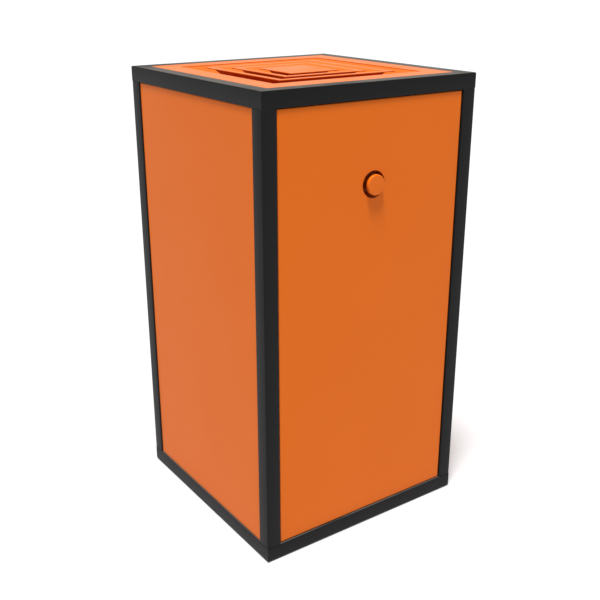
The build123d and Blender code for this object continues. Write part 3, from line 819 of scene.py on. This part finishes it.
def make_cup():
    """Flange, down the wall, over the bend to the lock's opening, and back round the outside."""
    front, rear = cup_box[0][1], cup_box[1][1]
    flange = (cup_box[1][0] - cup_box[0][0]) / 2
    deep = rear - front
    bend_middle = (hole_radius - cup_bend, deep - sheet - cup_bend)
    profile = [(flange, 0.0), (hole_radius, 0.0)]
    profile += arc(bend_middle, cup_bend, 0, 90, 5)
    profile += [(lock_opening, deep - sheet), (lock_opening, deep)]
    profile += arc(bend_middle, cup_bend + sheet, 90, 0, 5)
    profile += [(hole_radius + sheet, sheet), (flange, sheet)]
    shape = bmesh.new()
    spun(shape, profile, (0.0, front, knob_z), (0, 1, 0))
    return keep_piece(shape, "knob_cup_pressed", ["knob_cup"], "pull_out")


make_cup()
print("cup depth", round(1000 * (cup_box[1][1] - cup_box[0][1]), 1), "mm")


# %% [markdown]
# ## Liner, grip and glides
# The liner is one rotational moulding: walls that lean out, round corners, and a rolled rim that a
# bag folds over. Two shallow bands round its walls keep them from bowing. The grip on its bail is a
# sleeve with finger ridges, and the glides are turned pads with a broken edge.

# %% Liner
liner_wall = 0.0025
liner_taper = 0.014
liner_corner = 0.028
base_round = 0.006
band_proud = 0.0012
band_places = (0.36, 0.68)
rim_proud = 0.006
rim_deep = 0.004

# each profile is (rise from its place, how far the loop stands out from the wall)
base_profile = ((0.0, -base_round), (0.3 * base_round, -0.3 * base_round), (base_round, 0.0),
                (2 * base_round, 0.0))
band_profile = ((-0.014, 0.0), (-0.010, 0.0), (-0.006, band_proud), (-0.003, band_proud),
                (0.003, band_proud), (0.006, band_proud), (0.010, 0.0), (0.014, 0.0))
rim_profile = ((-0.010, 0.0), (-rim_deep, 0.0), (-rim_deep, rim_proud - 0.0005),
               (0.0005 - rim_deep, rim_proud), (-0.0012, rim_proud), (0.0, rim_proud - 0.0014),
               (0.0, 0.001 - liner_wall), (-0.001, -liner_wall), (-0.006, -liner_wall))
floor_profile = ((2 * base_round, -liner_wall), (base_round, -liner_wall), (0.0, -liner_wall - base_round))


def make_liner():
    """Up the outside over two bands, round the rim, and down the inside to the floor."""
    corner_low, corner_high = (Vector(c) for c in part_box("liner"))
    centre_y = (corner_low.y + corner_high.y) / 2
    wide = (corner_high.x - corner_low.x) / 2 - rim_proud
    deep = (corner_high.y - corner_low.y) / 2 - rim_proud
    bottom, top = corner_low.z, corner_high.z
    tall = top - bottom

    def loop(level, shift):
        pull = liner_taper * (top - level) / tall - shift
        points = rounded_loop(wide - pull, deep - pull, liner_corner + shift, 10)
        return [Vector((u, v + centre_y, level)) for u, v in points]

    stretches = [(bottom, base_profile)]
    stretches += [(bottom + share * tall, band_profile) for share in band_places]
    stretches += [(top, rim_profile), (bottom + liner_wall, floor_profile)]
    rings = [loop(place + rise, shift) for place, profile in stretches for rise, shift in profile]
    shape = bmesh.new()
    skin(shape, rings)
    return keep_piece(shape, "liner_moulded", ["liner"], "pull_out")


liner = make_liner()
print("liner, faces:", len(liner.data.polygons))


# %% Grip
grip_bore = 0.00353
grip_end = 0.002
ridges = 5
ridge_deep = 0.001


def make_grip():
    """A sleeve with rounded ends, whose outside dips and rises once for each ridge."""
    corner_low, corner_high = (Vector(c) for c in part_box("bail_grip"))
    middle = (corner_low + corner_high) / 2
    length = corner_high.x - corner_low.x
    radius = (corner_high.z - corner_low.z) / 2
    end_bevel = 0.3 * grip_end
    steps = 8 * ridges
    profile = [(grip_bore, 0.0), (radius - grip_end, 0.0), (radius - end_bevel, end_bevel),
               (radius, grip_end)]
    for k in range(1, steps):
        share = k / steps
        dip = ridge_deep / 2 * (1 - math.cos(2 * math.pi * ridges * share))
        profile.append((radius - dip, grip_end + share * (length - 2 * grip_end)))
    profile += [(radius, length - grip_end), (radius - end_bevel, length - end_bevel),
                (radius - grip_end, length), (grip_bore, length)]
    shape = bmesh.new()
    spun(shape, profile, (corner_low.x, middle.y, middle.z), (1, 0, 0), steps=36)
    return keep_piece(shape, "bail_grip_ridged", ["bail_grip"], "bail")


make_grip()
print("grip ridges:", ridges)


# %% Floor glides
glide_pad = 0.009
glide_stem = 0.00397
glide_edge = 0.0006


def make_glides():
    """Four pads with a softened lower edge; each stem goes up into the frame."""
    corner_high = Vector(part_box("floor_glides")[1])
    profile = [(0.0, 0.0), (glide_pad - glide_edge, 0.0),
               (glide_pad - 0.2 * glide_edge, 0.2 * glide_edge), (glide_pad, glide_edge),
               (glide_pad, frame_low), (glide_stem, frame_low), (glide_stem, corner_high.z),
               (0.0, corner_high.z)]
    shape = bmesh.new()
    for side_x in (-1, 1):
        for side_y in (-1, 1):
            centre = (side_x * (corner_high.x - glide_pad), side_y * (corner_high.y - glide_pad), 0.0)
            spun(shape, profile, centre, (0, 0, 1), steps=40)
    return keep_piece(shape, "floor_glides_turned", ["floor_glides"])


make_glides()


# %% [markdown]
# ## Camera
# The bin is seen from its front left corner, from a little above its top, through a lens just
# longer than a normal one, so that its upright edges draw together only slightly. The camera's
# place is given in heights of the bin, so that it steps back from a taller one.

# %% Place the camera
lens = 52.64
lens_shift = 0.0007
camera_place = Vector((-1.1142, -1.5932, 1.2009))
camera_aim = Vector((0.5376, 0.7656, -0.3532))


def place_camera():
    data = bpy.data.cameras.new("camera")
    data.sensor_width = 36.0
    data.lens = lens
    data.shift_y = lens_shift
    camera = bpy.data.objects.new("camera", data)
    bpy.context.scene.collection.objects.link(camera)
    camera.location = camera_place * cad_box[1][2]
    camera.rotation_mode = "QUATERNION"
    camera.rotation_quaternion = camera_aim.to_track_quat("-Z", "Y")
    bpy.context.scene.camera = camera
    return camera


camera = place_camera()
print("camera at", [round(v, 3) for v in camera.location])


# %% [markdown]
# ## Floor and light
# A plain pale floor, one light nearly overhead and a little from the front left, and an even pale
# surround. The light is a sun as wide as a large lamp close by, so its shadows have soft edges. The
# floor sends light back up, which fills the two upright faces. The camera sees the surround as
# plain white, though it lights the bin less than white would.

# %% Floor
floor_half = 60.0
floor_grey = 0.56


def make_floor():
    shape = bmesh.new()
    bmesh.ops.create_grid(shape, x_segments=1, y_segments=1, size=floor_half)
    mesh = bpy.data.meshes.new("studio_floor")
    shape.to_mesh(mesh)
    shape.free()
    floor = bpy.data.objects.new("studio_floor", mesh)
    bpy.context.scene.collection.objects.link(floor)
    material, tree, shader, place = start_material("studio_white")
    shader.inputs["Base Color"].default_value = (floor_grey, floor_grey, floor_grey, 1.0)
    shader.inputs["Roughness"].default_value = 0.9
    shader.inputs["Specular IOR Level"].default_value = 0.1
    mesh.materials.append(material)
    return floor


make_floor()
print("floor:", 2 * floor_half, "m across")


# %% Lights
sun_strength = 5.0
sun_width = math.radians(12.0)
sun_way = Vector((0.30, 0.29, -1.60))
surround_light = 0.4


def add_key_light():
    """A sun nearly overhead, a little from the front left."""
    data = bpy.data.lights.new("key_light", "SUN")
    data.energy = sun_strength
    data.angle = sun_width
    light = bpy.data.objects.new("key_light", data)
    bpy.context.scene.collection.objects.link(light)
    light.location = (-0.4, -0.6, 2.4)
    light.rotation_mode = "QUATERNION"
    light.rotation_quaternion = sun_way.to_track_quat("-Z", "Y")
    return light


def make_surround():
    """A white world for the camera's own rays, and a dimmer one for the light on the bin."""
    world = bpy.data.worlds.new("studio_surround")
    world.use_nodes = True
    tree = world.node_tree
    background = tree.nodes["Background"]
    background.inputs["Color"].default_value = (1.0, 1.0, 1.0, 1.0)
    seen = tree.nodes.new("ShaderNodeLightPath")
    strength = tree.nodes.new("ShaderNodeMapRange")
    strength.inputs["To Min"].default_value = surround_light
    strength.inputs["To Max"].default_value = 1.0
    tree.links.new(seen.outputs["Is Camera Ray"], strength.inputs["Value"])
    tree.links.new(strength.outputs["Result"], background.inputs["Strength"])
    bpy.context.scene.world = world


add_key_light()
make_surround()
bpy.context.scene.view_settings.view_transform = "Standard"
print("lights:", [light.name for light in bpy.data.lights])
